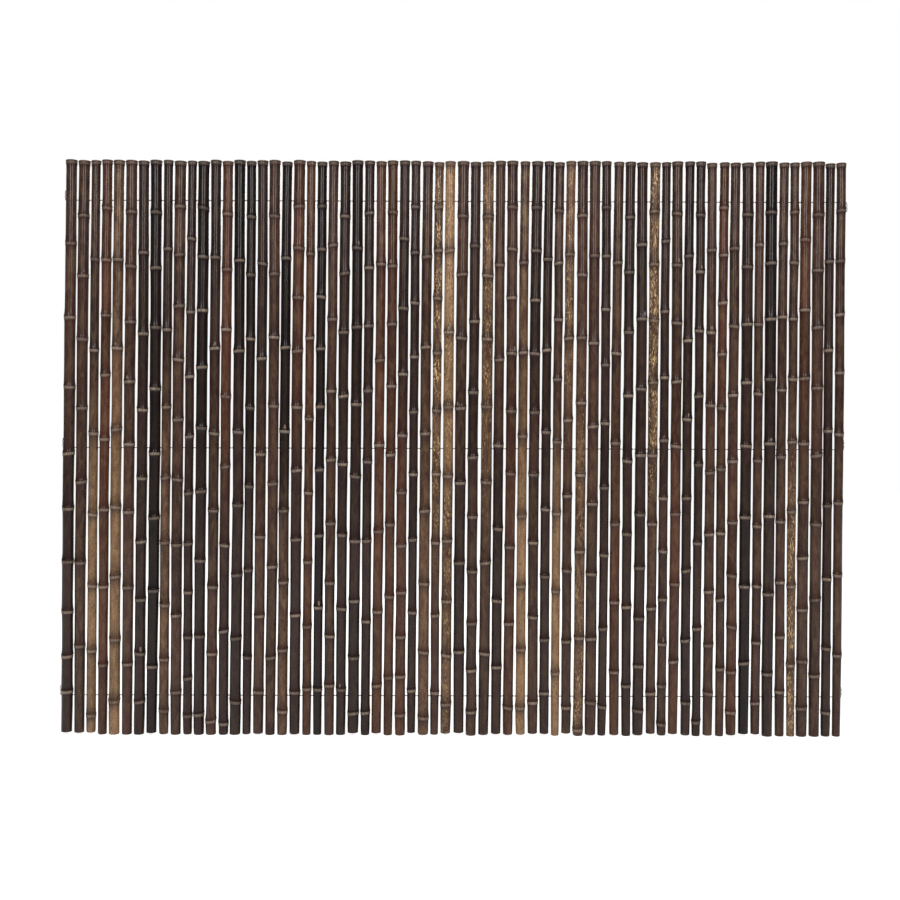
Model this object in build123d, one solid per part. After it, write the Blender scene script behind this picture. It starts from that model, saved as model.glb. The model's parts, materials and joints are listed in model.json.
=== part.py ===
from build123d import *
import os
import random
from dataclasses import dataclass, field

# A screening mat of dark bamboo canes, drilled across and threaded side by side on three wires.
# Millimetres. X runs along the mat, the front faces -Y, Z is up, and the lowest feet stand at Z 0.

# The canes
CANE_COUNT = 66
CANES_PER_NODE = 2
CANE_LENGTH = 1800.0
CANE_DIAMETER = 30.1
DIAMETER_SPREAD = 0.13  # share by which one cane is thicker or thinner than the usual
CULM_TAPER = 0.06  # share of its thickness that a cane loses from butt to tip
CANE_BOW = 3.0  # how far a cane's middle may bow to one side
CANE_ZIGZAG = 0.7  # how far a cane may step aside at one ring
TOP_UNEVEN = 5.0
FOOT_UNEVEN = 8.0
MAT_LEAN = 11.0  # how far the feet stand to the left of the tops

# The room between two neighbours where they come closest
LEAST_GAP = 0.4
MOST_GAP = 1.4

# The rings where a cane had its leaves
NODE_RISE = 3.1
NODE_STEP = 7.0
BUTT_INTERNODE = 148.0
TIP_INTERNODE = 280.0
INTERNODE_GROWTH = 0.075  # each length between two rings is this much longer than the one below it
INTERNODE_SPREAD = 0.15

# The wires
WIRE_DIAMETER = 2.0
HOLE_CLEARANCE = 0.3
TOP_WIRE_DROP = 125.0
FOOT_WIRE_RISE = 122.0
TAIL_LENGTH = 30.0
TAIL_BEND = 2.0

# Which way each wire's two ends are turned over, left then right: 1 is up, -1 is down
WIRE_TURNS = {"wire_top": (1, -1), "wire_middle": (1, 1), "wire_bottom": (1, 1)}

wire_heights = {
    "wire_top": CANE_LENGTH - TOP_WIRE_DROP,
    "wire_middle": (CANE_LENGTH - TOP_WIRE_DROP + FOOT_WIRE_RISE) / 2,
    "wire_bottom": FOOT_WIRE_RISE,
}
hole_width = WIRE_DIAMETER + 2 * HOLE_CLEARANCE
ring_distance_from_wire = NODE_STEP + 3 * hole_width


@dataclass
class Cane:
    """One cane: its place along the mat and the stations that its outline passes through."""

    number: int
    diameter: float
    lane_x: float = 0.0
    stations: list = field(default_factory=list)


def own_chance(number, purpose):
    """A cane's own run of chance numbers, the same at every build."""
    return random.Random(f"cane {number} {purpose}")


def pick_canes():
    """Give every cane its number and its thickness."""
    canes = []
    for number in range(1, CANE_COUNT + 1):
        spread = DIAMETER_SPREAD * own_chance(number, "thickness").uniform(-1, 1)
        canes.append(Cane(number, CANE_DIAMETER * (1 + spread)))
    return canes


def clear_of_wires(height):
    """Move a ring up or down where it would fall on a drilled hole."""
    for wire_height in wire_heights.values():
        if abs(height - wire_height) < ring_distance_from_wire:
            side = 1 if height > wire_height else -1
            return wire_height + side * ring_distance_from_wire
    return height


def ring_heights(cane, top, foot):
    """The rings from the foot up. Canes lie head to tail, so every second one has its butt on top."""
    chance = own_chance(cane.number, "rings")
    butt_on_top = cane.number % 2 == 0
    length = BUTT_INTERNODE if butt_on_top else TIP_INTERNODE
    growth = 1 + INTERNODE_GROWTH * chance.uniform(0.75, 1.25)
    length *= 1 + INTERNODE_SPREAD * chance.uniform(-1, 1)
    heights = []
    height = top - length
    while height > foot + 3 * NODE_STEP:
        heights.insert(0, clear_of_wires(height))
        length *= growth if butt_on_top else 1 / growth
        height -= length * (1 + INTERNODE_SPREAD / 4 * chance.uniform(-1, 1))
    return heights


def shape_cane(cane):
    """Fill in a cane's stations from foot to top: height, distance from its lane and radius."""
    chance = own_chance(cane.number, "bends")
    top = min(CANE_LENGTH, CANE_LENGTH + TOP_UNEVEN * chance.uniform(-1, 0.5))
    foot = max(0.0, FOOT_UNEVEN * chance.uniform(-0.5, 1))
    bow = CANE_BOW * chance.uniform(-1, 1)
    butt_on_top = cane.number % 2 == 0

    def radius_at(height):
        from_butt = (top - height if butt_on_top else height) / CANE_LENGTH
        return cane.diameter / 2 * (1 - CULM_TAPER * from_butt)

    def aside_at(height):
        share = height / CANE_LENGTH
        bend = MAT_LEAN * (share - 0.5) + bow * 4 * share * (1 - share)
        return bend + CANE_ZIGZAG * chance.uniform(-1, 1)

    cane.stations = [(foot, aside_at(foot), radius_at(foot))]
    for height in ring_heights(cane, top, foot):
        aside = aside_at(height)
        crest = (height, aside, radius_at(height) + NODE_RISE)
        if butt_on_top:
            cane.stations += [(height - NODE_STEP, aside, radius_at(height)), crest]
        else:
            cane.stations += [crest, (height + NODE_STEP, aside, radius_at(height))]
    aside = aside_at(top)
    if butt_on_top:
        cane.stations.append((top - NODE_STEP, aside, radius_at(top)))
    cane.stations.append((top, aside, radius_at(top) + NODE_RISE))


def side_at(cane, height, side):
    """The X of a cane's left (-1) or right (1) side at one height."""
    below, above = cane.stations[0], cane.stations[-1]
    for station in cane.stations:
        if station[0] <= height:
            below = station
    for station in reversed(cane.stations):
        if station[0] >= height:
            above = station
    share = (height - below[0]) / (above[0] - below[0]) if above[0] > below[0] else 0
    share = min(1, max(0, share))
    aside = below[1] + share * (above[1] - below[1])
    radius = below[2] + share * (above[2] - below[2])
    return cane.lane_x + aside + side * radius


def push_together(canes):
    """Push the canes together from left to right until each one nearly touches the one before it."""
    for before, cane in zip(canes, canes[1:]):
        heights = [station[0] for station in before.stations + cane.stations]
        room = min(side_at(cane, height, -1) - side_at(before, height, 1) for height in heights)
        gap = own_chance(cane.number, "gap").uniform(LEAST_GAP, MOST_GAP)
        cane.lane_x = gap - room
    middle = canes[-1].lane_x / 2
    for cane in canes:
        cane.lane_x -= middle


def culm_corners(x, height, radius):
    """The six corners of a cane's section, which is as wide and as deep as the round cane."""
    half = radius / 2
    left_side = [(x - half, radius, height), (x - radius, 0, height), (x - half, -radius, height)]
    right_side = [(x + half, -radius, height), (x + radius, 0, height), (x + half, radius, height)]
    return left_side + right_side


def make_cane(cane):
    """Skin one cane with flat sides from station to station and drill it across for the three wires."""
    sections = [culm_corners(cane.lane_x + aside, height, radius) for height, aside, radius in cane.stations]
    skin = [Face(Wire.make_polygon(section)) for section in (sections[0], sections[-1])]
    for lower, upper in zip(sections, sections[1:]):
        for corner in range(len(lower)):
            before = corner - 1
            side = [lower[before], lower[corner], upper[corner], upper[before]]
            skin.append(Face(Wire.make_polygon(side)))
    culm = Solid(Shell(skin))
    drill = Rot(45, 0, 0) * Box(3 * CANE_DIAMETER, hole_width, hole_width)
    return culm - [Pos(cane.lane_x, 0, height) * drill for height in wire_heights.values()]


def tail_points(cane, height, side, turn):
    """The two bends and the tip of a wire's end, turned over along the outer side of an end cane."""
    tip = height + turn * TAIL_LENGTH
    low, high = min(height, tip), max(height, tip)
    levels = [low, high] + [station[0] for station in cane.stations if low < station[0] < high]
    reach = max(side * side_at(cane, level, side) for level in levels)
    x = side * (reach + WIRE_DIAMETER / 2 + HOLE_CLEARANCE + TAIL_BEND)
    return [(x - side * TAIL_BEND, 0, height), (x, 0, height + turn * TAIL_BEND), (x, 0, tip)]


def make_wire(name, canes):
    """Sweep one wire straight through the row of holes, with both ends turned over."""
    height = wire_heights[name]
    left_turn, right_turn = WIRE_TURNS[name]
    left_end = tail_points(canes[0], height, -1, left_turn)
    right_end = tail_points(canes[-1], height, 1, right_turn)
    path = Polyline(*reversed(left_end), *right_end)
    start = Plane(path @ 0, x_dir=(0, 1, 0), z_dir=path % 0)
    return sweep(start * RegularPolygon(WIRE_DIAMETER / 2, 6), path=path, transition=Transition.RIGHT)


canes = pick_canes()
for cane in canes:
    shape_cane(cane)
push_together(canes)

os.makedirs("parts", exist_ok=True)
for first in range(0, CANE_COUNT, CANES_PER_NODE):
    group = canes[first : first + CANES_PER_NODE]
    name = f"canes_{group[0].number:02d}_{group[-1].number:02d}"
    solids = [solid for cane in group for solid in make_cane(cane).solids()]
    export_step(Compound(solids), f"parts/{name}.step")
for name in wire_heights:
    export_step(make_wire(name, canes), f"parts/{name}.step")
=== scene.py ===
"""Looks of a bamboo screening mat: turned canes, threaded wires and a plain white stage."""

import json
import math
import random
from collections import namedtuple

import bmesh
import bpy
import numpy as np
from bpy.props import FloatProperty, FloatVectorProperty, IntProperty, PointerProperty, StringProperty
from mathutils import Matrix, Vector, noise


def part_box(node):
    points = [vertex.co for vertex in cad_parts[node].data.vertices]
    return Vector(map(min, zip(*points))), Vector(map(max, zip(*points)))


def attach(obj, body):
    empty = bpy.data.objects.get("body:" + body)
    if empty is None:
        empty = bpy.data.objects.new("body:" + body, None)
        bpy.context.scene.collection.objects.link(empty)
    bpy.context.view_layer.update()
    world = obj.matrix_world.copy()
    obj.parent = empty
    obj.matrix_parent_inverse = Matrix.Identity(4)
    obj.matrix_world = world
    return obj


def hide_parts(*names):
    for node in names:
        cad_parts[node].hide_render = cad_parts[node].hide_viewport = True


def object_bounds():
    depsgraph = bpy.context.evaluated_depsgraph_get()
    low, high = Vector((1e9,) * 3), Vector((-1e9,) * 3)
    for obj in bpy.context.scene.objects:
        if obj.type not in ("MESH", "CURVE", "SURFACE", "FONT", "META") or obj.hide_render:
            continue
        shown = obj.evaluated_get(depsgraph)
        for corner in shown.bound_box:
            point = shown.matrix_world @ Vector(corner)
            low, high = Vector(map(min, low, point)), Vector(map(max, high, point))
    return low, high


bl_info = {
    "name": "Bamboo screening mat",
    "version": (1, 0, 0),
    "blender": (4, 5, 0),
    "location": "3D View > Sidebar > Screening mat",
    "description": "Dresses the CAD model of a bamboo screening mat and sets its stage",
    "category": "Object",
}

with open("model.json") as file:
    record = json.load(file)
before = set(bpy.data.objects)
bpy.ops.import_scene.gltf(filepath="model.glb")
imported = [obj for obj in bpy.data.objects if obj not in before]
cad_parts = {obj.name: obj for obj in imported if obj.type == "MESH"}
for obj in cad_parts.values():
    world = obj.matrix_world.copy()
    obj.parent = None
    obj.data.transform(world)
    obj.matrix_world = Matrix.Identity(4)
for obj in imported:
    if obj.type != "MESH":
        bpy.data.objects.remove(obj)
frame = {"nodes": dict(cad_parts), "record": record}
cad_low, cad_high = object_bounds()

# A section of a CAD cane
Station = namedtuple("Station", "height x radius")
# A letter's stain, and the share of bare cane that shows through it
Tone = namedtuple("Tone", "letter stain wear")
# What chance gives one cane
Chances = namedtuple("Chances", "tone_change rings tilts pales tints facing speckled")
# Where one point of a straight turned cane lies: also its nearest ring, how far below that ring's lip it is,
# how many rings are below it, and whether it is inside, on sawn wood
Spot = namedtuple("Spot", "height radius angle ring drop length inside")

# Reading the CAD model
SECTION_CORNERS = 6  # a level of a CAD cane with fewer corners belongs to a drilled hole
SAME_LEVEL = 0.0002  # corners that are closer in height are on one level
LEAST_RING_RISE = 0.0008  # a section that stands out this far from the next one is a ring
MERGE_DISTANCE = 0.00001

# The swelling at a ring: distance below the ring's lip, and share of the ring's full rise
RING_OUTLINE = (
    (-0.0800, 0.36),
    (-0.0450, 0.38),
    (-0.0240, 0.43),
    (-0.0120, 0.52),
    (-0.0060, 0.65),
    (-0.0028, 0.84),
    (-0.0014, 1.00),
    (0.0002, 1.00),
    (0.0010, 0.70),
    (0.0020, 0.77),
    (0.0074, 0.77),
    (0.0098, 0.62),
    (0.0120, 0.48),
    (0.0165, 0.39),
    (0.0290, 0.34),
    (0.0450, 0.36),
)
FLATTEST_RING = 0.85  # share of the full rise
FOOT_MARGIN = 0.004  # no swelling comes closer to the foot
TOP_MARGIN = 0.0015  # no swelling comes closer to the top
END_MARGIN = 0.012  # the two ends of a cane stay level, so no tilt comes closer to them

# Where the flat above a ring begins and is deepest, and where it begins to fade and is gone
GROOVE_START = (0.004, 0.020)
GROOVE_END = (0.060, 0.200)
GROOVE_SHARPNESS = 6
LUMPS_PER_METRE = 22
LUMPS_APART = 3.1  # step from cane to cane, so that no two canes have the same lumps
TILT_FADE = (0.010, 0.045)  # how far from a ring its tilt begins to fade and is gone
SAWN_DEPTH = 0.6  # share of the worn edge's width beyond which a point is sawn wood

# What chance gives a cane
TONE_CHANGE_SPREAD = 0.25  # how far from a cane's middle its tone may change
RING_TILTS = (0.07, 0.04)  # usual slope of a ring to the side and to the back
RING_PALENESS = (0.45, 1.00)
TOP_RING_PALENESS = 0.3
LENGTH_TINTS = (0.72, 1.28)  # shares by which one length between rings is darker or lighter
SPECK_AMOUNTS = (0.2, 0.9, 1.6)
GOLDEN_FOOT_SPECKS = 0.12

# The scars of cut branches, and the burrs of drilled holes
SCAR_SHARE = 0.25  # of the canes
SCAR_ABOVE_RING = 0.009
SCAR_STANDOUT = 0.0012  # from a cane's plain side to the middle of its scar
SCAR_TURN = 35  # most degrees to one side of the front
SCAR_DEPTH = 0.0016
SCAR_WIDTHS = (0.0024, 0.0036)
SCAR_HEIGHTS = (0.005, 0.010)
SCAR_PALENESS = 0.7
BURR_HEIGHT = 0.45  # share of the burr's radius

# Colours near a ring, in metres below its lip, each with the distances at which it begins and ends
BAND_TOP = (0.0004, 0.0014)
BAND_FOOT = (0.0080, 0.0108)
# Painted shade: a dark line in the groove under the lip
LIP_SHADE = 0.0009
LIP_SHADE_FADE = (0.0002, 0.0013)
# Painted shadow under the pale band
BAND_SHADOW = 0.0124
BAND_SHADOW_FADE = (0.0008, 0.0036)
BAND_SHADOW_STRENGTH = 0.5
HALO = 0.0020
HALO_FADE = (0.006, 0.040)
HALO_STRENGTH = 0.75
RIM_FADE = (0.0026, 0.0012)  # distance below the top at which its pale rim begins and is full
RIM_PALENESS = 0.8
DULL_RINGS = (1.2, 1.7)  # heights between which the rings turn duller towards the top
DULL_STRENGTH = 0.5

# The stain that each letter stands for, and the share of bare cane that shows through it
TONES = {
    "k": ("black", 0.05),
    "d": ("dark", 0.12),
    "b": ("brown", 0.28),
    "r": ("russet", 0.30),
    "t": ("tan", 0.62),
    "g": ("gold", 0.85),
}
TONE_FADE = 0.35  # half the height over which a cane changes from its lower to its upper tone
SPECKLED_WEAR = (0.25, 0.70)  # wear at which bare specks begin and are full

# The wound ends of the wires
TAIL_REACH = 0.0015  # corners of the CAD wire this close to its outermost point are on the turned-over end
TAIL_INSET = 0.0022  # from that outermost point to the middle of the winding
TAIL_BEND = 0.0020
TAIL_STEPS = 20
TAIL_TURN = math.radians(50)
WIND_WIDTH = 0.0008
WIND_DEPTH = 0.0016

# Patterns: where a mask begins and is full, as values of its noise
GRAIN_SPAN = (0.30, 0.70)
BLOTCH_SPAN = (0.42, 0.62)
FLECK_SPAN = 0.12  # from the least fleck on
SPECKS_ASIDE = (3.0, 7.0, 1.0)  # moved, so that bare specks and dark flecks don't fall together

# Looks of the cane's skin: the least and the most of a share, or one share
STREAK_TINTS = (0.87, 1.13)
FIBRE_TINTS = (0.94, 1.06)
FIBRE_RELIEF = 0.15  # beside that of the streaks
FLECK_SHARES = (0.15, 0.85)  # on fresh and on worn stain
BAND_SHARES = (0.35, 1.00)  # of the pale band, where streaks are thin and where they are full
SPECKS_NEAR_RING = 0.25  # share of the specks that is left there
FADED_SHARE = 0.25  # of bare cane in a faded patch
PAINTED_SHADE_SHARE = 0.65  # of black in the painted shade under a lip and the painted shadow under the pale band
HOLE_SHADE = (0.0022, 0.0050)  # how far from a wire the painted shade at a hole's mouth begins to fade and is gone
SKIN_ROUGHNESS = (0.25, 0.28)
BAND_ROUGHNESS = 0.35  # added on the pale band
CUT_ROUGHNESS = (0.70, 0.88)
WIRE_ROUGHNESS = (0.42, 0.65)

# The stage
BACKDROP = (0.6, 0.98)  # how straight a reflected ray goes back where the room brightens and is white
FLOOR_REACH = 20.0  # from the floor's middle to its edge
FLOOR_DROP = 0.001
LAMP_AIM = Vector((0, 0, 0.2))  # from the middle of the mat
CAMERA_SHIFT = Vector((-0.011, 0, -0.006))  # from the middle of the mat
SENSOR_WIDTH = 36.0  # millimetres


class MatSizes(bpy.types.PropertyGroup):
    """Sizes of the details that the CAD canes and wires don't carry."""

    segments: IntProperty(
        name="Cane segments", description="Flat steps round one cane", default=20, min=8)
    wall: FloatProperty(
        name="Cane wall", description="Thickness of the wood round the hollow", default=0.0042,
        unit="LENGTH")
    edge: FloatProperty(
        name="Cut edge", description="Width of the worn edge of a sawn end", default=0.0010, unit="LENGTH")
    cup: FloatProperty(
        name="Top cup", description="Depth of the hollow in a sawn top", default=0.0030, unit="LENGTH")
    top_ring: FloatProperty(
        name="Top ring", description="Distance of the last ring below a sawn top", default=0.0030,
        unit="LENGTH")
    groove: FloatProperty(
        name="Groove", description="Depth of the flat above a ring", default=0.0011, unit="LENGTH")
    lumps: FloatProperty(
        name="Lumps", description="Height of the unevenness of a cane's side", default=0.00035,
        unit="LENGTH")
    burr: FloatProperty(
        name="Burr", description="Radius of the raised edge of a drilled hole", default=0.0024,
        unit="LENGTH")
    wire: FloatProperty(
        name="Wire", description="Diameter of a threaded wire", default=0.0020, unit="LENGTH")


class MatFinishes(bpy.types.PropertyGroup):
    """Colours of the canes and wires, and which cane has which stain, from left to right."""

    upper_tones: StringProperty(
        name="Upper tones", description="One letter a cane for its upper half",
        default="bbbrtbdkdbdkdrkkdbkrrkbdkdrrddbtgbdtbbtddbtbbdbddtdbddbrbdbkbbrbdb")
    lower_tones: StringProperty(
        name="Lower tones", description="One letter a cane for its lower half",
        default="dbgrgbdktbddbdddbbtdrkbdddrrrdtbtdbbdrgbdgbtbdrddbbrddbbrkbdbtbbdb")
    # Also the colour of the painted shade and shadow at the rings
    black: FloatVectorProperty(
        name="k, black", description="Near-black stain", subtype="COLOR", default=(0.0104, 0.0056, 0.0051))
    dark: FloatVectorProperty(
        name="d, dark", description="Dark umber stain", subtype="COLOR", default=(0.0238, 0.0116, 0.0099))
    brown: FloatVectorProperty(
        name="b, brown", description="Brown stain", subtype="COLOR", default=(0.0455, 0.0202, 0.0148))
    russet: FloatVectorProperty(
        name="r, russet", description="Red brown stain", subtype="COLOR", default=(0.0620, 0.0214, 0.0127))
    tan: FloatVectorProperty(
        name="t, tan", description="Worn stain with tan showing", subtype="COLOR",
        default=(0.0800, 0.0368, 0.0228))
    gold: FloatVectorProperty(
        name="g, gold", description="Nearly bare golden cane", subtype="COLOR",
        default=(0.2150, 0.1190, 0.0620))
    bare_wood: FloatVectorProperty(
        name="Bare cane", description="Cane that shows through worn stain", subtype="COLOR",
        default=(0.680, 0.450, 0.220))
    ring_scar: FloatVectorProperty(
        name="Ring scar", description="Corky band under a ring's lip", subtype="COLOR",
        default=(0.330, 0.246, 0.184))
    branch_scar: FloatVectorProperty(
        name="Branch scar", description="Stain on the stump of a cut branch", subtype="COLOR",
        default=(0.050, 0.035, 0.025))
    # Painted shade of the drilled holes, which the turned canes lack, and the dark colour of their burrs
    drilled: FloatVectorProperty(
        name="Drilled hole", description="Mouth of a drilled hole", subtype="COLOR",
        default=(0.008, 0.007, 0.006))
    sawn: FloatVectorProperty(
        name="Sawn cane", description="Clean sawn cane", subtype="COLOR", default=(0.200, 0.125, 0.070))
    grubby: FloatVectorProperty(
        name="Grubby cane", description="Dirty sawn cane", subtype="COLOR", default=(0.090, 0.058, 0.038))
    fibre_end: FloatVectorProperty(
        name="Fibre end", description="Dark fibre end in sawn cane", subtype="COLOR",
        default=(0.035, 0.022, 0.016))
    wire_grey: FloatVectorProperty(
        name="Wire grey", description="Dull galvanised wire", subtype="COLOR",
        default=(0.030, 0.028, 0.027))
    wire_stain: FloatVectorProperty(
        name="Wire stain", description="Stained part of a wire", subtype="COLOR",
        default=(0.012, 0.010, 0.009))


class MatStage(bpy.types.PropertyGroup):
    """Light and camera round the mat."""

    fill_light: FloatProperty(
        name="Fill light", description="Strength of the light from all sides", default=0.37)
    dim_room: FloatProperty(
        name="Dim room", description="Strength of the room that the canes' gloss reflects", default=0.08)
    floor_glow: FloatProperty(
        name="Floor glow", description="Brightness that whitens the floor for the camera", default=0.76)
    front_power: FloatProperty(
        name="Front lamps", description="Power of each front lamp", default=85.0, unit="POWER")
    top_power: FloatProperty(
        name="Top lamp", description="Power of the lamp above", default=24.0, unit="POWER")
    back_power: FloatProperty(
        name="Back lamp", description="Power of the lamp behind", default=55.0, unit="POWER")
    camera_distance: FloatProperty(
        name="Camera distance", description="From the camera to the mat", default=3.6, unit="LENGTH")
    frame_width: FloatProperty(
        name="Frame width", description="Width that the picture covers at the mat", default=2.827,
        unit="LENGTH")
    camera_roll: FloatProperty(
        name="Camera roll", description="Tilt of the picture", default=math.radians(0.18), unit="ROTATION")


def own_chance(number, purpose):
    """A run of chance numbers that belongs to one cane, the same at every run."""
    return random.Random(f"cane {number} {purpose}")


def between(value, low, high):
    """How far a value has come from low to high, kept from 0 to 1 and eased at both ends."""
    share = min(1.0, max(0.0, (value - low) / (high - low)))
    return share * share * (3 - 2 * share)


# What the CAD model says about the canes and wires

class Cane:
    """One cane of the CAD model: its sections from foot to top, and which of them are rings."""

    def __init__(self, number, stations):
        self.number = number
        self.foot = stations[0].height
        self.top = stations[-1].height
        self.rings = []
        for place in range(1, len(stations)):
            here = stations[place]
            beside = stations[place - 1 : place] + stations[place + 1 : place + 2]
            nearest = min(beside, key=lambda station: abs(station.height - here.height))
            if here.radius - nearest.radius > LEAST_RING_RISE:
                self.rings.append(here)
        plain = [station for station in stations if station not in self.rings]
        self.heights = [station.height for station in stations]
        self.middles = [station.x for station in stations]
        self.plain_heights = [station.height for station in plain]
        self.plain_radii = [station.radius for station in plain]

    def x_at(self, height):
        """The X of the cane's middle."""
        return np.interp(height, self.heights, self.middles)

    def radius_at(self, height):
        """The cane's radius away from its rings."""
        return np.interp(height, self.plain_heights, self.plain_radii)


def read_stations(corners):
    """The sections of one CAD cane from foot to top, without the levels of its drilled holes."""
    levels = []
    for corner in sorted(corners, key=lambda co: co.z):
        if not levels or corner.z - levels[-1][-1].z > SAME_LEVEL:
            levels.append([])
        levels[-1].append(corner)
    stations = []
    for level in levels:
        if len(level) >= SECTION_CORNERS:
            left = min(corner.x for corner in level)
            right = max(corner.x for corner in level)
            stations.append(Station(level[0].z, (left + right) / 2, (right - left) / 2))
    return stations


def read_canes(node):
    """The canes of a CAD node, from left to right."""
    solid = bmesh.new()
    solid.from_mesh(frame["nodes"][node].data)
    bmesh.ops.remove_doubles(solid, verts=solid.verts, dist=MERGE_DISTANCE)
    waiting = set(solid.verts)
    outlines = []
    while waiting:
        island = [waiting.pop()]
        for vert in island:
            for edge in vert.link_edges:
                other = edge.other_vert(vert)
                if other in waiting:
                    waiting.remove(other)
                    island.append(other)
        outlines.append(read_stations([vert.co.copy() for vert in island]))
    solid.free()
    outlines.sort(key=lambda stations: stations[0].x)
    first = int(node.split("_")[1])
    return [Cane(first + place, stations) for place, stations in enumerate(outlines)]


def wire_heights():
    """The height of each wire's straight run, from the record's mounts."""
    heights = {}
    for mount in frame["record"]["mounts"]:
        heights["wire_" + mount["name"].split("_")[0]] = mount["pos_m"][2]
    return heights


# Shape of the canes

def ring_places(cane, sizes):
    """The heights of a cane's rings, the last one just below its sawn top."""
    heights = [ring.height for ring in cane.rings]
    heights[-1] -= sizes.top_ring
    return heights


def side_outline(cane, sizes):
    """The outside of a cane as radius and height, from its foot to its top."""
    foot, top = cane.foot, cane.top
    rise = cane.rings[0].radius - cane.radius_at(cane.rings[0].height)
    chance = own_chance(cane.number, "rings")
    swells = {}
    for ring in ring_places(cane, sizes):
        fullness = rise * chance.uniform(FLATTEST_RING, 1)
        for distance, share in RING_OUTLINE:
            height = ring - distance
            if foot + FOOT_MARGIN < height < top - TOP_MARGIN:
                swells[height] = fullness * share
    outline = [(cane.radius_at(height) + swell, height) for height, swell in sorted(swells.items())]
    last_swell = outline[-1][0] - cane.radius_at(top)
    foot_radius = cane.radius_at(foot)
    top_radius = cane.radius_at(top) + max(0.0, last_swell)
    outline.insert(0, (foot_radius, foot + sizes.edge))
    outline.append((top_radius, top - sizes.edge))
    return outline


def full_outline(cane, sizes):
    """A cane's whole outline: up the hollow of its foot, round its side and down into its top."""
    foot, top = cane.foot, cane.top
    least_hollow = 0.012
    rounding = 0.006
    dome = 0.001
    side = side_outline(cane, sizes)
    bore = side[0][0] - sizes.wall
    cup = side[-1][0] - 1.2 * sizes.wall
    floor = max(foot + least_hollow, ring_places(cane, sizes)[0] - rounding)
    hollow = [(0.0, floor), (0.7 * bore, floor - dome), (bore, floor - rounding), (bore, foot + sizes.edge)]
    foot_edge = [(bore + 0.4 * sizes.edge, foot), (side[0][0] - sizes.edge, foot)]
    top_edge = [(side[-1][0] - sizes.edge, top), (cup + 0.4 * sizes.edge, top)]
    top_hollow = [(cup, top - sizes.edge), (0.8 * cup, top - sizes.cup), (0.0, top - 1.2 * sizes.cup)]
    return hollow + foot_edge + side + top_edge + top_hollow


def turn_on_lathe(shell, outline, segments):
    """Spin an outline round the upright axis and give back the new points."""
    before = set(shell.verts)
    corners = [shell.verts.new((radius, 0, height)) for radius, height in outline]
    edges = [shell.edges.new(pair) for pair in zip(corners, corners[1:])]
    bmesh.ops.spin(
        shell, geom=corners + edges, cent=(0, 0, 0), axis=(0, 0, 1), angle=2 * math.pi, steps=segments,
        use_merge=True, use_duplicate=False)
    turned = [vert for vert in shell.verts if vert not in before]
    bmesh.ops.remove_doubles(shell, verts=turned, dist=MERGE_DISTANCE)
    turned = [vert for vert in shell.verts if vert not in before]
    faces = list({face for vert in turned for face in vert.link_faces})
    bmesh.ops.recalc_face_normals(shell, faces=faces)
    return turned


def read_tones(cane, finishes):
    """A cane's upper and lower tone."""
    tones = []
    for letters in (finishes.upper_tones, finishes.lower_tones):
        letter = letters[(cane.number - 1) % len(letters)]
        stain, wear = TONES[letter]
        tones.append(Tone(letter, Vector(getattr(finishes, stain)), wear))
    return tones


def pick_chances(cane, sizes, golden_foot):
    """What chance gives one cane: where its tone changes, how its rings tilt, and its tints and specks."""
    chance = own_chance(cane.number, "bends")
    tone_change = (cane.foot + cane.top) / 2 + chance.uniform(-TONE_CHANGE_SPREAD, TONE_CHANGE_SPREAD)
    rings = ring_places(cane, sizes)
    tilts = [[chance.gauss(0, slope) for slope in RING_TILTS] for _ in rings]
    pales = []
    for height in rings:
        dullness = DULL_STRENGTH * between(height, *DULL_RINGS)
        pales.append(chance.uniform(*RING_PALENESS) * (1 - dullness))
    pales[-1] = TOP_RING_PALENESS
    tints = [chance.uniform(*LENGTH_TINTS) for _ in range(len(rings) + 1)]
    facing = chance.uniform(0, 2 * math.pi)
    speckled = chance.choice(SPECK_AMOUNTS)
    if golden_foot:
        speckled = GOLDEN_FOOT_SPECKS
    return Chances(tone_change, rings, tilts, pales, tints, facing, speckled)


def find_spot(point, cane, sizes, rings):
    """Where a point of a straight turned cane lies, and how far below the nearest ring."""
    height = point.z
    radius = math.hypot(point.x, point.y)
    ring = min(range(len(rings)), key=lambda place: abs(rings[place] - height))
    return Spot(
        height=height,
        radius=radius,
        angle=math.atan2(point.y, point.x),
        ring=ring,
        drop=rings[ring] - height,
        length=sum(1 for other in rings if other < height),
        inside=radius < cane.radius_at(height) - SAWN_DEPTH * sizes.edge)


def bend_point(spot, cane, sizes, chances):
    """Where a point of a cane lies once the cane has its bends, groove, lumps and tilted rings."""
    height, radius, angle = spot.height, spot.radius, spot.angle
    if not spot.inside:
        lump_x = cane.number * LUMPS_APART + math.cos(angle)
        lump = noise.noise(Vector((lump_x, math.sin(angle), height * LUMPS_PER_METRE)))
        above = height - (chances.rings[spot.length - 1] if spot.length else cane.foot)
        depth = sizes.groove * between(above, *GROOVE_START) * (1 - between(above, *GROOVE_END))
        turn = max(0.0, math.cos(angle - chances.facing - math.pi * spot.length))
        radius += sizes.lumps * lump - depth * turn ** GROOVE_SHARPNESS
    x = radius * math.cos(angle)
    y = radius * math.sin(angle)
    lift = 0
    if cane.foot + END_MARGIN < height < cane.top - END_MARGIN:
        tilt_x, tilt_y = chances.tilts[spot.ring]
        lift = (tilt_x * x + tilt_y * y) * (1 - between(abs(spot.drop), *TILT_FADE))
    return x + cane.x_at(height), y, height + lift


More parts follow.
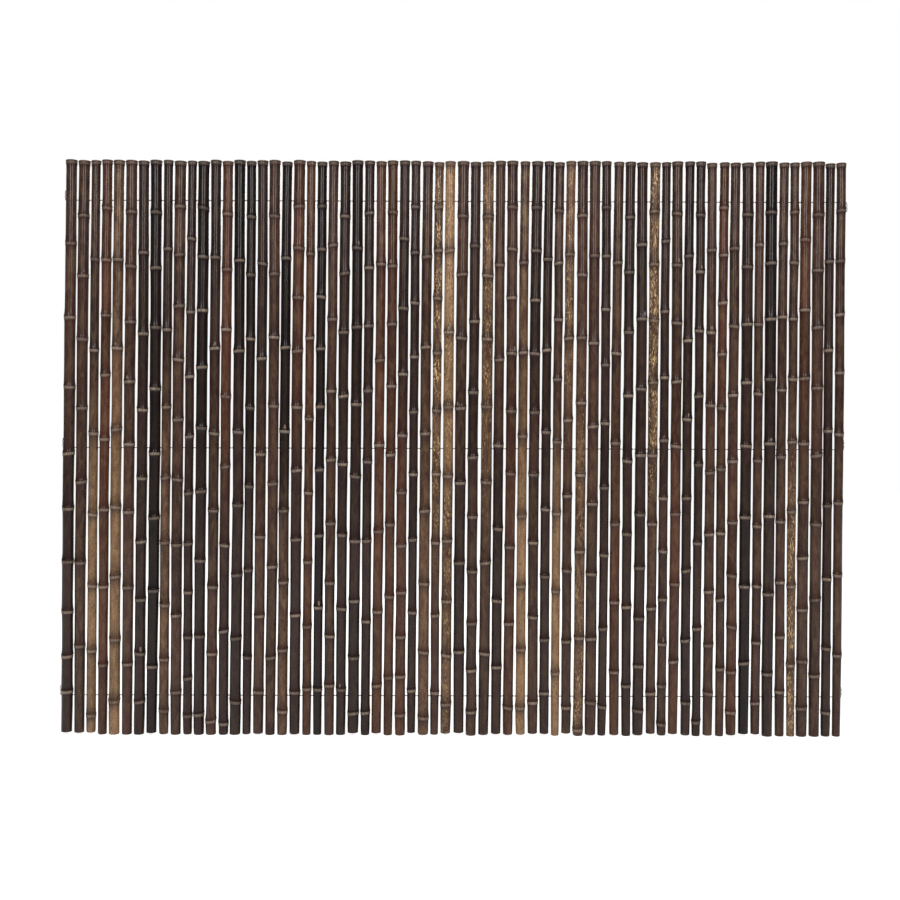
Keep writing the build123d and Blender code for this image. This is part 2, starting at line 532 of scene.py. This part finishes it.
def stain_point(vert, layers, spot, cane, tones, dark, chances):
    """Store the stain, wear, ring colours, painted shade at the ring and sawn wood at one point of a cane.
    """
    upper, lower = tones
    drop = spot.drop
    share = between(spot.height, chances.tone_change - TONE_FADE, chances.tone_change + TONE_FADE)
    wear = lower.wear + (upper.wear - lower.wear) * share
    near = 1 - between(abs(drop - HALO), *HALO_FADE)
    stain = lower.stain.lerp(upper.stain, share) * chances.tints[spot.length]
    stain = stain.lerp(dark, HALO_STRENGTH * wear * near)
    band = between(drop, *BAND_TOP) * (1 - between(drop, *BAND_FOOT))
    rim = RIM_PALENESS * between(spot.height, cane.top - RIM_FADE[0], cane.top - RIM_FADE[1])
    # Painted shade in the groove under the lip, and painted shadow under the pale band
    line = 1 - between(abs(drop - LIP_SHADE), *LIP_SHADE_FADE)
    shadow = BAND_SHADOW_STRENGTH * (1 - between(abs(drop - BAND_SHADOW), *BAND_SHADOW_FADE))
    vert[layers.float_color["stain"]] = (*stain, 1)
    vert[layers.float["ring"]] = max(chances.pales[spot.ring] * band, rim)
    vert[layers.float["painted_ring_shade"]] = max(line, shadow)
    vert[layers.float["near_ring"]] = near
    vert[layers.float["wear"]] = wear
    vert[layers.float["specks"]] = chances.speckled * between(wear, *SPECKLED_WEAR)
    vert[layers.float["cut"]] = 1.0 if spot.inside else 0.0


def bend_and_stain(shell, turned, cane, sizes, finishes):
    """Stain a straight turned cane and then bend it, point by point."""
    tones = read_tones(cane, finishes)
    dark = Vector(finishes.dark)
    chances = pick_chances(cane, sizes, golden_foot=tones[1].letter == "g")
    layers = shell.verts.layers
    for vert in turned:
        spot = find_spot(vert.co, cane, sizes, chances.rings)
        stain_point(vert, layers, spot, cane, tones, dark, chances)
        vert.co = bend_point(spot, cane, sizes, chances)


def add_burrs(shell, cane, sizes):
    """Raise a small dark burr on both sides of a cane where each wire goes through it; the painted hole
    shade covers it.
    """
    side = side_outline(cane, sizes)
    flat = Matrix.Diagonal((BURR_HEIGHT, 1, 1, 1))
    for height in wire_heights().values():
        x = cane.x_at(height)
        radius = np.interp(height, [point[1] for point in side], [point[0] for point in side])
        for turn in (-1, 1):
            spot = Matrix.Translation((x + turn * radius, 0, height)) @ flat
            bmesh.ops.create_uvsphere(shell, u_segments=6, v_segments=4, radius=sizes.burr, matrix=spot)


def add_branch_scar(shell, cane, sizes, finishes):
    """Leave the pale scar of a cut branch above one of a cane's rings, on about one cane in four."""
    chance = own_chance(cane.number, "branch")
    if chance.random() > SCAR_SHARE:
        return
    height = chance.choice(ring_places(cane, sizes)[:-1]) + SCAR_ABOVE_RING
    angle = math.radians(-90 + chance.uniform(-SCAR_TURN, SCAR_TURN))
    out = Vector((math.cos(angle), math.sin(angle), 0))
    spot = Vector((cane.x_at(height), 0, height)) + out * (cane.radius_at(height) + SCAR_STANDOUT)
    turn = Matrix.Rotation(angle, 4, "Z")
    shape = Matrix.Diagonal((SCAR_DEPTH, chance.uniform(*SCAR_WIDTHS), chance.uniform(*SCAR_HEIGHTS), 1))
    made = bmesh.ops.create_uvsphere(
        shell, u_segments=8, v_segments=6, radius=1, matrix=Matrix.Translation(spot) @ turn @ shape)
    for vert in made["verts"]:
        vert[shell.verts.layers.float["ring"]] = SCAR_PALENESS
        vert[shell.verts.layers.float_color["stain"]] = (*finishes.branch_scar, 1)


def finish_faces(shell):
    """Shade the sides smooth, keep hard edges hard and give sawn wood its own material."""
    sharpest_smooth = math.radians(38)
    cut = shell.verts.layers.float["cut"]
    for face in shell.faces:
        face.smooth = True
        face.material_index = 1 if all(vert[cut] > 0.5 for vert in face.verts) else 0
    for edge in shell.edges:
        edge.smooth = edge.calc_face_angle(0) < sharpest_smooth


def add_piece(shell, name, node, materials):
    """Make a finished mesh a named piece that stands for its CAD node."""
    mesh = bpy.data.meshes.new(name)
    shell.to_mesh(mesh)
    shell.free()
    for material in materials:
        mesh.materials.append(material)
    piece = bpy.data.objects.new(name, mesh)
    bpy.context.scene.collection.objects.link(piece)
    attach(piece, "root")
    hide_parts(node)


# Shape of the wires

def wire_route(node, height):
    """A wire's line from one wound end to the other, inside the room of its CAD node."""
    points = [vert.co for vert in frame["nodes"][node].data.vertices]
    low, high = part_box(node)
    tails = []
    for edge, side in ((low.x, -1), (high.x, 1)):
        levels = [point.z for point in points if abs(point.x - edge) < TAIL_REACH]
        tip = max(levels, key=lambda level: abs(level - height))
        x = edge - side * TAIL_INSET
        tail = [Vector((x - side * TAIL_BEND, 0, height))]
        for step in range(1, TAIL_STEPS + 1):
            turn = step * TAIL_TURN
            rise = (tip - height) * step / TAIL_STEPS
            wind = Vector((side * WIND_WIDTH * math.cos(turn), WIND_DEPTH * math.sin(turn), rise))
            tail.append(Vector((x, 0, height)) + wind)
        tails.append(tail)
    return list(reversed(tails[0])) + tails[1]


def draw_wire(shell, route, radius):
    """Push a round section along a route, and turn it with every bend."""
    loop = bmesh.ops.create_circle(shell, radius=radius, segments=10)["verts"]
    here = Vector()
    heading = Vector((0, 0, 1))
    for stop, point in enumerate(route):
        if stop:
            section = set(loop)
            edges = [edge for edge in shell.edges if section.issuperset(edge.verts)]
            grown = bmesh.ops.extrude_edge_only(shell, edges=edges)["geom"]
            loop = [part for part in grown if isinstance(part, bmesh.types.BMVert)]
        onward = route[min(stop + 1, len(route) - 1)] - route[max(stop - 1, 0)]
        turn = heading.rotation_difference(onward).to_matrix().to_4x4()
        move = Matrix.Translation(point) @ turn @ Matrix.Translation(-here)
        bmesh.ops.transform(shell, matrix=move, verts=loop)
        here = point
        heading = onward
    bmesh.ops.holes_fill(shell, edges=shell.edges)
    bmesh.ops.recalc_face_normals(shell, faces=shell.faces)


# Materials

def add_node(tree, kind, inputs=None, **settings):
    """Add a shader node, set it up and join or fill its inputs."""
    made = tree.nodes.new(kind)
    for name, value in settings.items():
        setattr(made, name, value)
    for socket, value in (inputs or {}).items():
        if isinstance(value, bpy.types.NodeSocket):
            tree.links.new(value, made.inputs[socket])
        else:
            made.inputs[socket].default_value = value
    return made


def calculate(tree, operation, *values):
    """One Math node's result."""
    return add_node(tree, "ShaderNodeMath", dict(enumerate(values)), operation=operation).outputs[0]


def remap(tree, value, low, high, new_low, new_high):
    """A value moved from one range to another and kept inside it."""
    inputs = {"Value": value, "From Min": low, "From Max": high, "To Min": new_low, "To Max": new_high}
    return add_node(tree, "ShaderNodeMapRange", inputs).outputs[0]


def blend_values(tree, share, first, second):
    """Two values mixed by a share."""
    return add_node(tree, "ShaderNodeMix", {0: share, 2: first, 3: second}).outputs[0]


def blend_colours(tree, share, first, second, blend="MIX"):
    """Two colours mixed by a share."""
    inputs = {0: share, 6: first, 7: second}
    return add_node(tree, "ShaderNodeMix", inputs, data_type="RGBA", blend_type=blend).outputs[2]


def attribute(tree, name, output="Fac"):
    """A value or colour stored on a piece's points."""
    return add_node(tree, "ShaderNodeAttribute", attribute_name=name).outputs[output]


def new_group(name, inputs, outputs):
    """An empty shader node group with named sockets."""
    group = bpy.data.node_groups.new(name, "ShaderNodeTree")
    for socket, kind, default in inputs:
        made = group.interface.new_socket(name=socket, in_out="INPUT", socket_type=kind)
        if default is not None:
            made.default_value = default
    for socket in outputs:
        group.interface.new_socket(name=socket, in_out="OUTPUT", socket_type="NodeSocketFloat")
    return group, group.nodes.new("NodeGroupInput"), group.nodes.new("NodeGroupOutput")


def make_fibre_group():
    """Fine upright fibres and broader streaks, as masks from 0 to 1."""
    sockets = [("Vector", "NodeSocketVector", None), ("Fibres per metre", "NodeSocketFloat", 700.0)]
    group, given, result = new_group("cane_fibres", sockets, ["Fibres", "Streaks"])
    for output, share, stretch in (("Fibres", 1.0, 0.012), ("Streaks", 0.34, 0.014)):
        stretched = add_node(
            group, "ShaderNodeMapping", {"Vector": given.outputs["Vector"], "Scale": (1, 1, stretch)})
        scale = calculate(group, "MULTIPLY", given.outputs["Fibres per metre"], share)
        grain = add_node(
            group, "ShaderNodeTexNoise",
            {"Vector": stretched.outputs[0], "Scale": scale, "Detail": 2.0, "Roughness": 0.5})
        group.links.new(remap(group, grain.outputs[0], *GRAIN_SPAN, 0, 1), result.inputs[output])
    return group


def make_blotch_group():
    """Irregular blotches and small flecks, as masks from 0 to 1."""
    sockets = [
        ("Vector", "NodeSocketVector", None),
        ("Blotches per metre", "NodeSocketFloat", 60.0),
        ("Flecks per metre", "NodeSocketFloat", 420.0),
        ("Least fleck", "NodeSocketFloat", 0.56),
    ]
    group, given, result = new_group("stain_blotches", sockets, ["Blotches", "Flecks"])
    squashed = add_node(
        group, "ShaderNodeMapping", {"Vector": given.outputs["Vector"], "Scale": (1, 1, 0.30)})
    blotch = add_node(
        group, "ShaderNodeTexNoise",
        {"Vector": squashed.outputs[0], "Scale": given.outputs["Blotches per metre"], "Detail": 5.0,
         "Roughness": 0.65, "Distortion": 0.6})
    group.links.new(remap(group, blotch.outputs[0], *BLOTCH_SPAN, 0, 1), result.inputs["Blotches"])
    fleck = add_node(
        group, "ShaderNodeTexNoise",
        {"Vector": squashed.outputs[0], "Scale": given.outputs["Flecks per metre"], "Detail": 2.0})
    fullest = calculate(group, "ADD", given.outputs["Least fleck"], FLECK_SPAN)
    flecks = remap(group, fleck.outputs[0], given.outputs["Least fleck"], fullest, 0, 1)
    group.links.new(flecks, result.inputs["Flecks"])
    return group


def new_material(name):
    """An empty material with its own Principled shader, and the Object coordinates."""
    material = bpy.data.materials.new(name)
    material.use_nodes = True
    tree = material.node_tree
    tree.nodes.clear()
    shader = tree.nodes.new("ShaderNodeBsdfPrincipled")
    output = tree.nodes.new("ShaderNodeOutputMaterial")
    tree.links.new(shader.outputs[0], output.inputs[0])
    where = tree.nodes.new("ShaderNodeTexCoord").outputs["Object"]
    return material, tree, shader, where


def add_bump(tree, shader, height, strength, distance):
    """Roughen a shader's surface by a height that changes over it."""
    bump = add_node(tree, "ShaderNodeBump", {"Height": height, "Strength": strength, "Distance": distance})
    tree.links.new(bump.outputs[0], shader.inputs["Normal"])


def hole_shade_mask(tree, where):
    """A mask of painted shade, 1 at the mouths of the drilled holes and fading a few millimetres away;
    near-black there stands for the holes' shade and the burrs' dark colour.
    """
    axes = add_node(tree, "ShaderNodeSeparateXYZ", {0: where})
    gap = None
    for height in wire_heights().values():
        away = calculate(tree, "ABSOLUTE", calculate(tree, "SUBTRACT", axes.outputs["Z"], height))
        gap = away if gap is None else calculate(tree, "MINIMUM", gap, away)
    squared = calculate(tree, "MULTIPLY_ADD", gap, gap, calculate(tree, "POWER", axes.outputs["Y"], 2.0))
    return remap(tree, calculate(tree, "SQRT", squared), *HOLE_SHADE, 1, 0)


def bare_mask(tree, where, blotches, spots, wear):
    """A mask of the bare specks and faded patches of worn stain, few of them near a ring."""
    moved = add_node(tree, "ShaderNodeMapping", {"Vector": where, "Location": SPECKS_ASIDE})
    specks = add_node(
        tree, "ShaderNodeGroup",
        {"Vector": moved.outputs[0], "Flecks per metre": 340.0, "Least fleck": 0.51}, node_tree=blotches)
    gold_specks = calculate(tree, "MULTIPLY", specks.outputs["Flecks"], specks.outputs["Blotches"])
    gold_specks = calculate(tree, "MULTIPLY", gold_specks, attribute(tree, "specks"))
    faded = calculate(tree, "MULTIPLY", spots.outputs["Blotches"], FADED_SHARE)
    faded = calculate(tree, "MULTIPLY", faded, wear)
    away_from_ring = remap(tree, attribute(tree, "near_ring"), 0, 1, 1.0, SPECKS_NEAR_RING)
    return calculate(tree, "MULTIPLY", calculate(tree, "MAXIMUM", gold_specks, faded), away_from_ring)


def make_cane_material(fibres, blotches, finishes):
    """Stained, satin cane skin with worn patches, pale rings with painted shade under their lips, and
    near-black painted at the drilled holes as their shade and their burrs' colour.
    """
    material, tree, shader, where = new_material("stained_cane")
    grain = add_node(tree, "ShaderNodeGroup", {"Vector": where}, node_tree=fibres)
    spots = add_node(tree, "ShaderNodeGroup", {"Vector": where}, node_tree=blotches)
    streaks = grain.outputs["Streaks"]
    ring = attribute(tree, "ring")
    wear = attribute(tree, "wear")

    stain = attribute(tree, "stain", "Color")
    colour = blend_colours(tree, 1.0, stain, remap(tree, streaks, 0, 1, *STREAK_TINTS), "MULTIPLY")
    bare = bare_mask(tree, where, blotches, spots, wear)
    colour = blend_colours(tree, bare, colour, (*finishes.bare_wood, 1))
    fleck = calculate(tree, "MULTIPLY", spots.outputs["Flecks"], remap(tree, wear, 0, 1, *FLECK_SHARES))
    colour = blend_colours(tree, fleck, colour, (*finishes.black, 1))
    fibre_tint = remap(tree, grain.outputs["Fibres"], 0, 1, *FIBRE_TINTS)
    colour = blend_colours(tree, 1.0, colour, fibre_tint, "MULTIPLY")
    broken = calculate(tree, "MULTIPLY", ring, remap(tree, streaks, 0, 1, *BAND_SHARES))
    colour = blend_colours(tree, broken, colour, (*finishes.ring_scar, 1))
    # Painted shade under each ring's lip and painted shadow under its pale band, in near-black
    line = calculate(tree, "MULTIPLY", attribute(tree, "painted_ring_shade"), PAINTED_SHADE_SHARE)
    colour = blend_colours(tree, line, colour, (*finishes.black, 1))
    # Painted shade at the hole mouths, which also darkens the burrs
    colour = blend_colours(tree, hole_shade_mask(tree, where), colour, (*finishes.drilled, 1))
    tree.links.new(colour, shader.inputs["Base Color"])

    skin_rough = remap(tree, streaks, 0, 1, *SKIN_ROUGHNESS)
    rough = calculate(tree, "MULTIPLY_ADD", ring, BAND_ROUGHNESS, skin_rough)
    tree.links.new(rough, shader.inputs["Roughness"])
    shader.inputs["Specular IOR Level"].default_value = 0.17
    shader.inputs["Coat Weight"].default_value = 0.08
    shader.inputs["Coat Roughness"].default_value = 0.16
    height = calculate(tree, "MULTIPLY_ADD", grain.outputs["Fibres"], FIBRE_RELIEF, streaks)
    add_bump(tree, shader, height, strength=0.04, distance=0.0003)
    return material


def make_cut_material(blotches, finishes):
    """Sawn cane: straw coloured, dotted with fibre ends and grubby."""
    material, tree, shader, where = new_material("sawn_cane")
    scales = {"Vector": where, "Blotches per metre": 140.0, "Flecks per metre": 1600.0}
    spots = add_node(tree, "ShaderNodeGroup", scales, node_tree=blotches)
    colour = blend_colours(tree, spots.outputs["Blotches"], (*finishes.sawn, 1), (*finishes.grubby, 1))
    colour = blend_colours(tree, spots.outputs["Flecks"], colour, (*finishes.fibre_end, 1))
    tree.links.new(colour, shader.inputs["Base Color"])
    rough = remap(tree, spots.outputs["Blotches"], 0, 1, *CUT_ROUGHNESS)
    tree.links.new(rough, shader.inputs["Roughness"])
    add_bump(tree, shader, spots.outputs["Flecks"], strength=0.5, distance=0.0003)
    return material


def make_wire_material(blotches, finishes):
    """Dull galvanised wire, greyed and stained by weather."""
    material, tree, shader, where = new_material("dull_wire")
    scales = {"Vector": where, "Blotches per metre": 90.0}
    spots = add_node(tree, "ShaderNodeGroup", scales, node_tree=blotches)
    grey = (*finishes.wire_grey, 1)
    colour = blend_colours(tree, spots.outputs["Blotches"], grey, (*finishes.wire_stain, 1))
    tree.links.new(colour, shader.inputs["Base Color"])
    shader.inputs["Metallic"].default_value = 0.5
    rough = remap(tree, spots.outputs["Blotches"], 0, 1, *WIRE_ROUGHNESS)
    tree.links.new(rough, shader.inputs["Roughness"])
    add_bump(tree, shader, spots.outputs["Flecks"], strength=0.2, distance=0.0001)
    return material


# Operators

class MakeCanes(bpy.types.Operator):
    """Turn, bend and stain every cane, two to a piece as in the CAD model"""

    bl_idname = "screening_mat.make_canes"
    bl_label = "Make canes"

    def execute(self, context):
        sizes = context.scene.mat_sizes
        finishes = context.scene.mat_finishes
        blotches = make_blotch_group()
        skin = make_cane_material(make_fibre_group(), blotches, finishes)
        materials = [skin, make_cut_material(blotches, finishes)]
        for node in sorted(name for name in frame["nodes"] if name.startswith("canes_")):
            shell = bmesh.new()
            shell.verts.layers.float_color.new("stain")
            for layer in ("ring", "painted_ring_shade", "near_ring", "wear", "specks", "cut"):
                shell.verts.layers.float.new(layer)
            for cane in read_canes(node):
                turned = turn_on_lathe(shell, full_outline(cane, sizes), sizes.segments)
                bend_and_stain(shell, turned, cane, sizes, finishes)
                add_burrs(shell, cane, sizes)
                add_branch_scar(shell, cane, sizes, finishes)
            finish_faces(shell)
            add_piece(shell, "bamboo_" + node, node, materials)
        return {"FINISHED"}


class MakeWires(bpy.types.Operator):
    """Draw the three wires with their wound ends"""

    bl_idname = "screening_mat.make_wires"
    bl_label = "Make wires"

    def execute(self, context):
        sizes = context.scene.mat_sizes
        material = make_wire_material(bpy.data.node_groups["stain_blotches"], context.scene.mat_finishes)
        for node, height in wire_heights().items():
            shell = bmesh.new()
            draw_wire(shell, wire_route(node, height), sizes.wire / 2)
            for face in shell.faces:
                face.smooth = True
            add_piece(shell, "threaded_" + node, node, [material])
        return {"FINISHED"}


class MakeStage(bpy.types.Operator):
    """Set the white floor and world, the soft lamps and the camera in front of the mat"""

    bl_idname = "screening_mat.make_stage"
    bl_label = "Make stage"

    def execute(self, context):
        scene = context.scene
        scene.view_settings.view_transform = "Standard"
        self.light_world(scene)
        self.lay_floor(scene)
        self.hang_lamps(scene)
        self.stand_camera(scene)
        return {"FINISHED"}

    def light_world(self, scene):
        """White for the camera, an even fill for the canes, and a dim room in front for their gloss."""
        world = bpy.data.worlds.new("white_studio")
        world.use_nodes = True
        tree = world.node_tree
        tree.nodes.clear()
        path = tree.nodes.new("ShaderNodeLightPath")
        direction = tree.nodes.new("ShaderNodeTexCoord").outputs["Generated"]
        towards_backdrop = add_node(tree, "ShaderNodeSeparateXYZ", {0: direction}).outputs["Y"]
        mirrored = remap(tree, towards_backdrop, *BACKDROP, scene.mat_stage.dim_room, 1.0)
        strength = blend_values(tree, path.outputs["Is Glossy Ray"], scene.mat_stage.fill_light, mirrored)
        straight = calculate(
            tree, "MAXIMUM", path.outputs["Is Camera Ray"], path.outputs["Is Transmission Ray"])
        strength = blend_values(tree, straight, strength, 1.0)
        background = add_node(tree, "ShaderNodeBackground", {"Color": (1, 1, 1, 1), "Strength": strength})
        output = tree.nodes.new("ShaderNodeOutputWorld")
        tree.links.new(background.outputs[0], output.inputs[0])
        scene.world = world

    def lay_floor(self, scene):
        """A pale floor that looks white to the camera and in reflections, and keeps the mat's shadow."""
        mesh = bpy.data.meshes.new("floor")
        sheet = bmesh.new()
        bmesh.ops.create_grid(sheet, x_segments=1, y_segments=1, size=FLOOR_REACH)
        sheet.to_mesh(mesh)
        sheet.free()
        floor = bpy.data.objects.new("floor", mesh)
        floor.location.z = cad_low.z - FLOOR_DROP
        scene.collection.objects.link(floor)
        material, tree, shader, _ = new_material("white_floor")
        shader.inputs["Base Color"].default_value = (0.80, 0.80, 0.80, 1)
        shader.inputs["Roughness"].default_value = 0.9
        shader.inputs["Emission Color"].default_value = (1, 1, 1, 1)
        path = tree.nodes.new("ShaderNodeLightPath")
        mirrored = calculate(
            tree, "MAXIMUM", path.outputs["Is Glossy Ray"], path.outputs["Is Transmission Ray"])
        seen = calculate(tree, "MAXIMUM", path.outputs["Is Camera Ray"], mirrored)
        glow = calculate(tree, "MULTIPLY", seen, scene.mat_stage.floor_glow)
        tree.links.new(glow, shader.inputs["Emission Strength"])
        mesh.materials.append(material)

    def hang_lamps(self, scene):
        """Two tall lamps in front, a wide one above and a wide one behind, all turned to the mat."""
        stage = scene.mat_stage
        aim = (cad_low + cad_high) / 2 + LAMP_AIM
        lamps = (
            ("left_softbox", (-1.9, -4.2, 3.1), (0.35, 1.6), stage.front_power),
            ("right_softbox", (1.7, -4.4, 3.0), (0.35, 1.6), stage.front_power),
            ("top_softbox", (0.0, -1.6, 4.2), (3.2, 1.2), stage.top_power),
            ("back_softbox", (0.0, 4.0, 3.0), (2.4, 1.2), stage.back_power),
        )
        for name, where, (width, height), power in lamps:
            light = bpy.data.lights.new(name, "AREA")
            light.shape = "RECTANGLE"
            light.size = width
            light.size_y = height
            light.energy = power
            lamp = bpy.data.objects.new(name, light)
            lamp.location = where
            lamp.rotation_euler = (aim - lamp.location).to_track_quat("-Z", "Y").to_euler()
            scene.collection.objects.link(lamp)

    def stand_camera(self, scene):
        """A camera straight in front of the mat, with the photograph's framing and slight tilt."""
        stage = scene.mat_stage
        data = bpy.data.cameras.new("camera")
        camera = bpy.data.objects.new("camera", data)
        data.sensor_width = SENSOR_WIDTH
        data.lens = SENSOR_WIDTH * stage.camera_distance / stage.frame_width
        in_front = (cad_low + cad_high) / 2 + Vector((0, -stage.camera_distance, 0))
        spot = Matrix.Translation(in_front + CAMERA_SHIFT)
        upright = Matrix.Rotation(math.radians(90), 4, "X")
        roll = Matrix.Rotation(stage.camera_roll, 4, "Z")
        camera.matrix_world = spot @ upright @ roll
        scene.collection.objects.link(camera)
        scene.camera = camera


class ScreeningMatPanel(bpy.types.Panel):
    """Lists the mat's steps, sizes, finishes and stage"""

    bl_idname = "VIEW3D_PT_screening_mat"
    bl_label = "Screening mat"
    bl_space_type = "VIEW_3D"
    bl_region_type = "UI"
    bl_category = "Screening mat"

    def draw(self, context):
        """One button for each step, then every value that can be changed."""
        layout = self.layout
        scene = context.scene
        for operator in (MakeCanes, MakeWires, MakeStage):
            layout.operator(operator.bl_idname)
        for group in (scene.mat_sizes, scene.mat_finishes, scene.mat_stage):
            for name in group.bl_rna.properties.keys():
                if name not in ("rna_type", "name"):
                    layout.prop(group, name)


CLASSES = (MatSizes, MatFinishes, MatStage, MakeCanes, MakeWires, MakeStage, ScreeningMatPanel)


def register():
    """Add the mat's classes and its values to Blender."""
    for made in CLASSES:
        bpy.utils.register_class(made)
    bpy.types.Scene.mat_sizes = PointerProperty(type=MatSizes)
    bpy.types.Scene.mat_finishes = PointerProperty(type=MatFinishes)
    bpy.types.Scene.mat_stage = PointerProperty(type=MatStage)


def unregister():
    """Take the mat's values and classes out of Blender again."""
    del bpy.types.Scene.mat_stage
    del bpy.types.Scene.mat_finishes
    del bpy.types.Scene.mat_sizes
    for made in reversed(CLASSES):
        bpy.utils.unregister_class(made)


def main():
    """Make the whole scene."""
    register()
    bpy.ops.screening_mat.make_canes()
    bpy.ops.screening_mat.make_wires()
    bpy.ops.screening_mat.make_stage()


if __name__ == "__main__":
    main()
